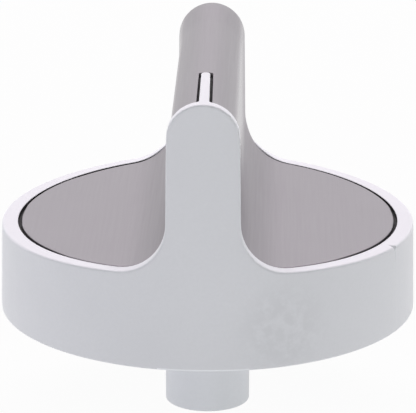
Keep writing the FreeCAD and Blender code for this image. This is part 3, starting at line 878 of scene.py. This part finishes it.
def seen_or_mirrored(tree):
    """1 for rays from the camera, mirrored rays and rays through glass, and 0 for the others."""
    path = tree.nodes.new("ShaderNodeLightPath")
    seen = path.outputs["Is Camera Ray"]
    for name in ("Is Glossy Ray", "Is Transmission Ray"):
        either = tree.nodes.new("ShaderNodeMath")
        either.operation = "MAXIMUM"
        tree.links.new(seen, either.inputs[0])
        tree.links.new(path.outputs[name], either.inputs[1])
        seen = either.outputs[0]
    return seen


class Nodes:
    """A material and short ways to set up its nodes."""

    def __init__(self, name):
        self.material = bpy.data.materials.new(name)
        self.material.use_nodes = True
        self.tree = self.material.node_tree
        self.shader = self.tree.nodes["Principled BSDF"]
        self.place = self.tree.nodes.new("ShaderNodeTexCoord").outputs["Object"]

    def new(self, kind, **settings):
        node = self.tree.nodes.new(kind)
        for key, value in settings.items():
            setattr(node, key, value)
        return node

    def link(self, source, target):
        self.tree.links.new(source, target)

    def coat(self, colour, roughness):
        """Links the shader's colour and its roughness."""
        self.link(colour, self.shader.inputs["Base Color"])
        self.link(roughness, self.shader.inputs["Roughness"])

    def axis(self, name):
        """One coordinate of the place on the piece."""
        place = self.new("ShaderNodeSeparateXYZ")
        self.link(self.place, place.inputs[0])
        return place.outputs[name]

    def noise(self, scale, stretch=(1.0, 1.0, 1.0), detail=3.0, roughness=0.55):
        """Noise whose patches are about 1/scale metres across, stretched by mapping."""
        mapping = self.new("ShaderNodeMapping")
        mapping.inputs["Scale"].default_value = stretch
        self.link(self.place, mapping.inputs["Vector"])
        noise = self.new("ShaderNodeTexNoise")
        noise.inputs["Scale"].default_value = scale
        noise.inputs["Detail"].default_value = detail
        noise.inputs["Roughness"].default_value = roughness
        self.link(mapping.outputs[0], noise.inputs["Vector"])
        return noise.outputs["Fac"]

    def spread(self, source, low, high, start=0.3, end=0.7):
        """Source between start and end made a number between low and high."""
        node = self.new("ShaderNodeMapRange")
        for key, value in (("From Min", start), ("From Max", end), ("To Min", low), ("To Max", high)):
            node.inputs[key].default_value = value
        self.link(source, node.inputs["Value"])
        return node.outputs[0]

    def times(self, first, second):
        """The product of two numbers."""
        node = self.new("ShaderNodeMath", operation="MULTIPLY")
        self.link(first, node.inputs[0])
        self.link(second, node.inputs[1])
        return node.outputs[0]

    def within(self, source, middle, reach):
        """1 where source lies within reach of middle, and 0 elsewhere."""
        node = self.new("ShaderNodeMath", operation="COMPARE")
        self.link(source, node.inputs[0])
        node.inputs[1].default_value, node.inputs[2].default_value = middle, reach
        return node.outputs[0]

    def blend(self, share, first, second):
        """Colour that goes from first to second as share goes from 0 to 1."""
        node = self.new("ShaderNodeMix", data_type="RGBA")
        # For colours the sockets are 0, 6 and 7, and the result is output 2
        for index, value in ((0, share), (6, first), (7, second)):
            if isinstance(value, tuple):
                node.inputs[index].default_value = value
            else:
                self.link(value, node.inputs[index])
        return node.outputs[2]

    def mottled(self, source, base, low, high):
        """The base colour made darker and lighter by a noise."""
        return self.blend(self.spread(source, 0.0, 1.0), tinted(base, low), tinted(base, high))

    def bump(self, *layers):
        """Bump nodes in a row, one for each (height, distance, strength)."""
        normal = None
        for height, distance, strength in layers:
            node = self.new("ShaderNodeBump")
            node.inputs["Distance"].default_value = distance
            node.inputs["Strength"].default_value = strength
            self.link(height, node.inputs["Height"])
            if normal:
                self.link(normal, node.inputs["Normal"])
            normal = node.outputs[0]
        self.link(normal, self.shader.inputs["Normal"])


def tinted(base, factor):
    """A colour made darker or lighter, with its alpha."""
    return tuple(min(channel * factor, 1.0) for channel in base) + (1.0,)


def gap_shade_material(finish):
    """Painted shade: the plastic deep in the gap round the cover made near-black, with a faint mottle.
    """
    n = Nodes("gap_painted_shade")
    gap_mottle = n.noise(500.0, detail=4.0)
    n.coat(n.mottled(gap_mottle, finish.gap, 0.7, 1.3), n.spread(gap_mottle, 0.65, 0.9))
    n.bump((gap_mottle, 0.00003, 0.4))
    return n.material


SMUDGE = (0.0094, -0.0233, 0.0174)
SMUDGE_REACH, SMUDGE_CORE, SMUDGE_TONE = 0.0062, 0.45, 0.935
# Painted highlight on the skirt's lower edge at the front, about as wide as the stem: its half width and
# how much lighter it is
EDGE_HIGHLIGHT_HALF, EDGE_HIGHLIGHT_TONE = 0.0053, 1.2


def moulding_material(finish, size):
    """Satin moulded plastic: faint mottling, fine grain, light scuffs, smudge and a painted highlight on
    the lower edge at the front.
    """
    n = Nodes("satin_moulding")
    cloud = n.noise(70.0, detail=4.0)
    speck = n.noise(2600.0, detail=2.0)
    scuff = n.noise(420.0, stretch=(1.0, 1.0, 0.35), detail=5.0, roughness=0.7)
    colour_cloud = n.mottled(cloud, finish.body, 0.985, 1.015)
    colour_speck = n.blend(n.spread(speck, 0.0, 0.35), colour_cloud, tinted(finish.body, 0.95))
    stain = n.noise(650.0, detail=4.0, roughness=0.6)
    away = n.new("ShaderNodeVectorMath", operation="DISTANCE")
    n.link(n.place, away.inputs[0])
    away.inputs[1].default_value = SMUDGE
    near = n.spread(away.outputs["Value"], 1.0, 0.0, SMUDGE_REACH * SMUDGE_CORE, SMUDGE_REACH)
    smudge = n.times(near, n.spread(stain, 0.0, 1.0, 0.38, 0.56))
    colour_smudge = n.blend(smudge, colour_speck, tinted(finish.body, SMUDGE_TONE))
    half = size.foot_round / 2
    # Painted highlight: the front of the skirt's lower rounding made lighter
    edge_highlight = n.times(n.within(n.axis("Z"), size.stem_length + half, half),
                     n.times(n.within(n.axis("X"), 0.0, EDGE_HIGHLIGHT_HALF),
                             n.within(n.axis("Y"), -size.rim_radius, size.foot_round * 2)))
    rough = finish.body_roughness
    n.coat(n.blend(edge_highlight, colour_smudge, tinted(finish.body, EDGE_HIGHLIGHT_TONE)),
           n.spread(scuff, rough - 0.05, rough + 0.08, 0.35, 0.75))
    n.shader.inputs["Specular IOR Level"].default_value = 0.5
    n.bump((speck, 0.00002, 0.35), (cloud, 0.0001, 0.1))
    return n.material


FLANK_SHEEN, FLANK_FADE = 0.62, 0.0004
VALLEY_DULL, VALLEY_FADE = 1.2, 0.0035


def cover_material(finish, size):
    """Stainless sheet with a fine satin grain, smoother on the flanks and duller in the valleys."""
    n = Nodes("brushed_cover")
    grain = n.noise(3200.0, stretch=(1.0, 0.02, 1.0))
    streak = n.noise(500.0, stretch=(1.0, 0.04, 1.0))
    cloud = n.noise(90.0)
    colour_cloud = n.mottled(cloud, finish.cover, 0.985, 1.015)
    colour_grain = n.blend(n.spread(streak, 0.0, 0.5), colour_cloud, tinted(finish.cover, 0.985))
    n.shader.inputs["Metallic"].default_value = 1.0
    face = cover_outline(size)
    foot, out = face.foot_x(), face.sweep_x
    across = n.new("ShaderNodeMath", operation="ABSOLUTE")
    n.link(n.axis("X"), across.inputs[0])

    def factor(amount, *fades):
        """Factor on the roughness where both fades are full."""
        start, end = (n.spread(across.outputs[0], *fade) for fade in fades)
        return n.spread(n.times(start, end), 1.0, amount, 0.0, 1.0)

    sheen = factor(FLANK_SHEEN, (0.0, 1.0, face.radius - FLANK_FADE, face.radius),
                   (1.0, 0.0, foot, foot + FLANK_FADE))
    dull = factor(VALLEY_DULL, (0.0, 1.0, foot - FLANK_FADE, foot + FLANK_FADE),
                  (1.0, 0.0, out - VALLEY_FADE, out))
    rough = finish.cover_roughness
    n.coat(colour_grain, n.times(n.spread(grain, rough - 0.02, rough + 0.03), n.times(sheen, dull)))
    n.bump((grain, 0.000001, 0.25), (streak, 0.000001, 0.2))
    return n.material


def clip_material(finish):
    """Rolled spring steel, darker and a little uneven."""
    n = Nodes("spring_steel")
    rolled = n.noise(1800.0, stretch=(1.0, 1.0, 0.05))
    stain = n.noise(300.0, detail=4.0)
    n.coat(n.mottled(stain, finish.clip, 0.85, 1.1), n.spread(rolled, 0.28, 0.42))
    n.shader.inputs["Metallic"].default_value = 1.0
    n.bump((rolled, 0.000008, 0.5))
    return n.material


def floor_material(finish):
    """Pale matt floor, white to the camera and in reflections, that keeps the knob's shadow."""
    n = Nodes("pale_floor")
    grain = n.noise(60.0)
    n.link(n.mottled(grain, finish.floor, 0.995, 1.0), n.shader.inputs["Base Color"])
    n.shader.inputs["Roughness"].default_value = 0.9
    white = n.new("ShaderNodeEmission")
    white.inputs["Color"].default_value = WHITE
    mix = n.new("ShaderNodeMixShader")
    whiteness = n.spread(seen_or_mirrored(n.tree), finish.floor_glow, finish.floor_white, 0.0, 1.0)
    n.link(whiteness, mix.inputs["Fac"])
    n.link(n.shader.outputs[0], mix.inputs[1])
    n.link(white.outputs[0], mix.inputs[2])
    n.link(mix.outputs[0], n.tree.nodes["Material Output"].inputs["Surface"])
    return n.material


def give(piece, slot, *materials):
    """Gives a piece its materials. The slot is not used."""
    for material in materials:
        piece.data.materials.append(material)


def panel_values(context):
    """The sizes and the finishes that the panel shows."""
    return context.scene.knob_sizes, context.scene.knob_finish


class KNOB_OT_make_moulding(bpy.types.Operator):
    """Make the moulding: skirt, deck, grip, land, pointer and stem"""

    bl_idname = "knob.make_moulding"
    bl_label = "Moulding"

    def execute(self, context):
        size, finish = panel_values(context)
        piece = build_moulding(size)
        give(piece, "body_plastic", moulding_material(finish, size), gap_shade_material(finish))
        even_normals(piece)
        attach(piece, "root")
        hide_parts("knob_body")
        return {"FINISHED"}


class KNOB_OT_make_ribs(bpy.types.Operator):
    """Make the stiffening ribs under the deck"""

    bl_idname = "knob.make_ribs"
    bl_label = "Stiffening ribs"

    def execute(self, context):
        size = context.scene.knob_sizes
        piece = build_rib(size)
        tree, count, first = rib_tree(bpy.data.materials["satin_moulding"])
        modifier = piece.modifiers.new("Round the axis", "NODES")
        modifier.node_group = tree
        modifier[count] = size.rib_count
        modifier[first] = size.rib_angle
        bake(piece)
        give(piece, "body_plastic")
        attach(piece, "root")
        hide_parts("knob_body")
        return {"FINISHED"}


class KNOB_OT_make_cover(bpy.types.Operator):
    """Make the pressed stainless cover with its two bent tabs"""

    bl_idname = "knob.make_cover"
    bl_label = "Pressed cover"

    def execute(self, context):
        size, finish = panel_values(context)
        piece = build_cover(size)
        give(piece, "cover_steel", cover_material(finish, size))
        even_normals(piece)
        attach(piece, "root")
        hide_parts("steel_cover")
        return {"FINISHED"}


class KNOB_OT_finish_clip(bpy.types.Operator):
    """Give the spring clip its rolled steel finish"""

    bl_idname = "knob.finish_clip"
    bl_label = "Spring clip"

    def execute(self, context):
        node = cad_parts["spring_clip"]
        node.material_slots[0].material = clip_material(context.scene.knob_finish)
        return {"FINISHED"}


CAMERA = {"turn": radians(1.274), "rise": radians(17.349), "away": 0.3714,
          "target": (0.000036, 0.0, 0.024757), "roll": radians(0.049), "lens": 264.03,
          "sensor": 36.0, "near": 0.01, "far": 20.0}
FLOOR_REACH = 3.0
# Strength of the white surroundings, as the other rays and as the camera and mirrors see them
STUDIO_LIGHT, STUDIO_WHITE = 0.05, 1.0
LAMP_AIM = (0.0, 0.0, 0.02)
WARM, PLAIN, COOL = (1.0, 0.92, 0.965), (1.0, 1.0, 1.0), (0.965, 0.955, 1.0)
LAMPS = (
    # name, place, width, height, watts, colour, mirrored in the metal
    ("rear_softbox", (0.0, 0.55, 0.80), 0.8, 0.5, 2.4, WARM, True),
    ("rear_fill", (0.0, 0.55, 0.80), 0.8, 0.5, 10.0, WARM, False),
    ("front_fill", (0.0, -0.95, 0.08), 0.6, 0.15, 0.55, PLAIN, False),
    ("left_fill", (-0.85, -0.45, 0.15), 0.6, 0.28, 3.7, COOL, False),
    ("right_fill", (0.85, -0.45, 0.15), 0.6, 0.28, 3.3, PLAIN, False),
)


def lay_floor(finish):
    """Large level floor at the lower end of the stem."""
    mesh = bmesh.new()
    bmesh.ops.create_grid(mesh, x_segments=8, y_segments=8, size=FLOOR_REACH)
    data = bpy.data.meshes.new("floor")
    mesh.to_mesh(data)
    mesh.free()
    data.materials.append(floor_material(finish))
    floor = put_in_scene("floor", data)


def whiten_surroundings(scene):
    """Surroundings that are white to the camera and in reflections, and light the knob little."""
    world = bpy.data.worlds.new("white_studio")
    scene.world = world
    world.use_nodes = True
    tree = world.node_tree
    background = tree.nodes["Background"]
    background.inputs["Color"].default_value = WHITE
    strength = tree.nodes.new("ShaderNodeMapRange")
    strength.inputs["To Min"].default_value = STUDIO_LIGHT
    strength.inputs["To Max"].default_value = STUDIO_WHITE
    tree.links.new(seen_or_mirrored(tree), strength.inputs["Value"])
    tree.links.new(strength.outputs[0], background.inputs["Strength"])


def hang_lamp(name, place, width, height, watts, tint, mirrored):
    """Rectangular lamp that faces the knob."""
    lamp = bpy.data.lights.new(name, "AREA")
    lamp.shape = "RECTANGLE"
    lamp.size, lamp.size_y, lamp.energy, lamp.color = width, height, watts, tint
    holder = put_in_scene(name, lamp)
    holder.location = place
    aim = Vector(LAMP_AIM) - Vector(place)
    holder.rotation_euler = aim.to_track_quat("-Z", "Y").to_euler()
    holder.visible_glossy = mirrored


def set_camera(scene):
    """The camera where the photograph was taken from."""
    camera = bpy.data.cameras.new("camera")
    camera.sensor_fit = "HORIZONTAL"
    camera.sensor_width, camera.lens = CAMERA["sensor"], CAMERA["lens"]
    camera.clip_start, camera.clip_end = CAMERA["near"], CAMERA["far"]
    turn, rise = CAMERA["turn"], CAMERA["rise"]
    back = Vector((sin(turn) * cos(rise), -cos(turn) * cos(rise), sin(rise)))
    place = Matrix.Translation(Vector(CAMERA["target"]) + back * CAMERA["away"])
    aim = (-back).to_track_quat("-Z", "Y").to_matrix().to_4x4()
    scene.camera = put_in_scene("camera", camera)
    scene.camera.matrix_world = place @ aim @ Matrix.Rotation(CAMERA["roll"], 4, "Z")


class KNOB_OT_make_stage(bpy.types.Operator):
    """Set up the floor, the lamps, the white surroundings and the camera"""

    bl_idname = "knob.make_stage"
    bl_label = "Stage"

    def execute(self, context):
        scene = context.scene
        lay_floor(scene.knob_finish)
        whiten_surroundings(scene)
        for lamp in LAMPS:
            hang_lamp(*lamp)
        set_camera(scene)
        scene.view_settings.view_transform = "Standard"
        return {"FINISHED"}


OPERATORS = (KNOB_OT_make_moulding, KNOB_OT_make_ribs, KNOB_OT_make_cover, KNOB_OT_finish_clip,
             KNOB_OT_make_stage)


class KNOB_PT_panel(bpy.types.Panel):
    """The knob's pieces, sizes and finishes"""

    bl_idname = "KNOB_PT_panel"
    bl_label = "Burner knob"
    bl_space_type = "VIEW_3D"
    bl_region_type = "UI"
    bl_category = "Burner knob"

    def draw(self, context):
        for operator in OPERATORS:
            self.layout.operator(operator.bl_idname)
        for group in panel_values(context):
            box = self.layout.box()
            for name in group.bl_rna.properties.keys():
                if name not in ("rna_type", "name"):
                    box.prop(group, name)


CLASSES = (KnobSizes, KnobFinish, *OPERATORS, KNOB_PT_panel)


def register():
    for item in CLASSES:
        bpy.utils.register_class(item)
    bpy.types.Scene.knob_sizes = PointerProperty(type=KnobSizes)
    bpy.types.Scene.knob_finish = PointerProperty(type=KnobFinish)


def unregister():
    del bpy.types.Scene.knob_finish
    del bpy.types.Scene.knob_sizes
    for item in reversed(CLASSES):
        bpy.utils.unregister_class(item)


def main():
    register()
    for operator in OPERATORS:
        group, name = operator.bl_idname.split(".")
        getattr(getattr(bpy.ops, group), name)()


if __name__ == "__main__":
    main()
